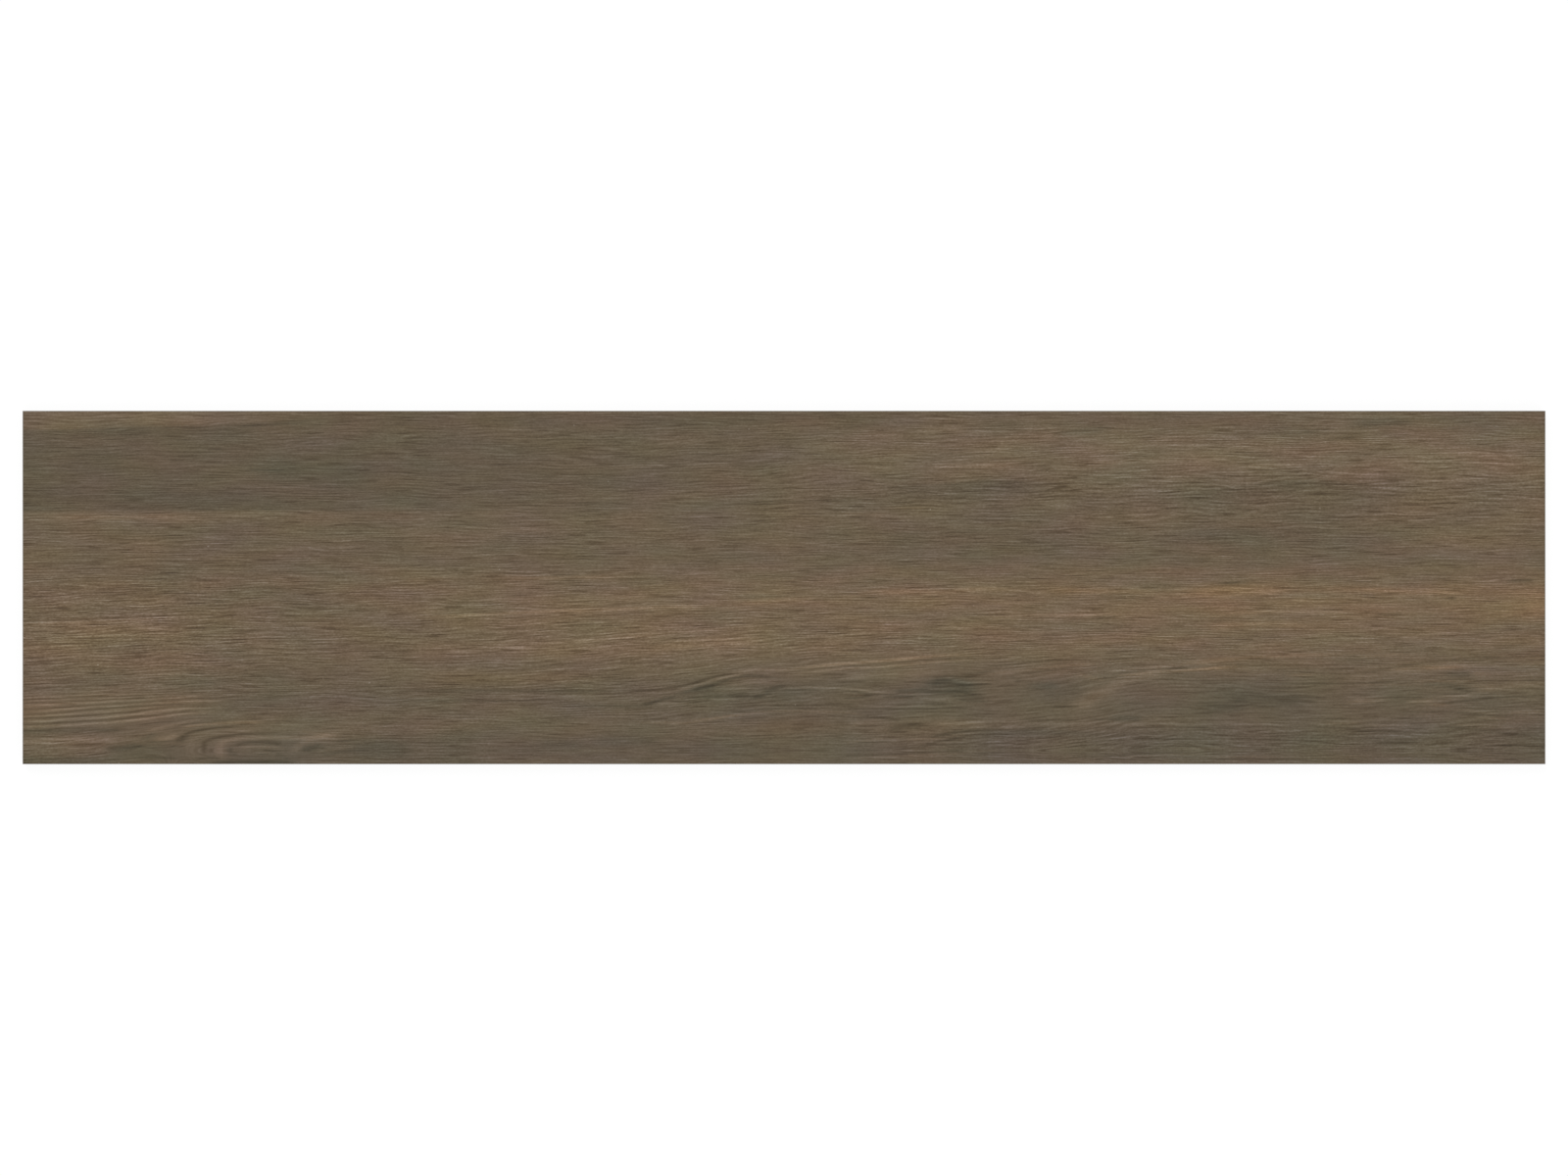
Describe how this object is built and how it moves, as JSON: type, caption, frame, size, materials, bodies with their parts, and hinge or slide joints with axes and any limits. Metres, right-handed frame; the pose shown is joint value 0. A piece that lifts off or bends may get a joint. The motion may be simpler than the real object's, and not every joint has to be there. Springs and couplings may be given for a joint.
{
  "type": "wood look porcelain plank tile",
  "caption": "Long flat rectangular ceramic floor or wall tile with a matte wood-grain face, a fine bevel round the face, square ground edges and a shallow ribbed back for adhesive.",
  "frame": {"origin": "centre of the bedding face, in the plane of the rib tops on the back", "axes": "+X along the plank, +Y across it, +Z out of the decorated face"},
  "size_m": [1, 0.232, 0.0095],
  "materials": {
    "printed_porcelain": "matte printed glaze, grey-brown oak grain; edges and back are the bare fired body"
  },
  "bodies": {
    "root": {"plank_tile": "printed_porcelain"}
  },
  "joints": []
}
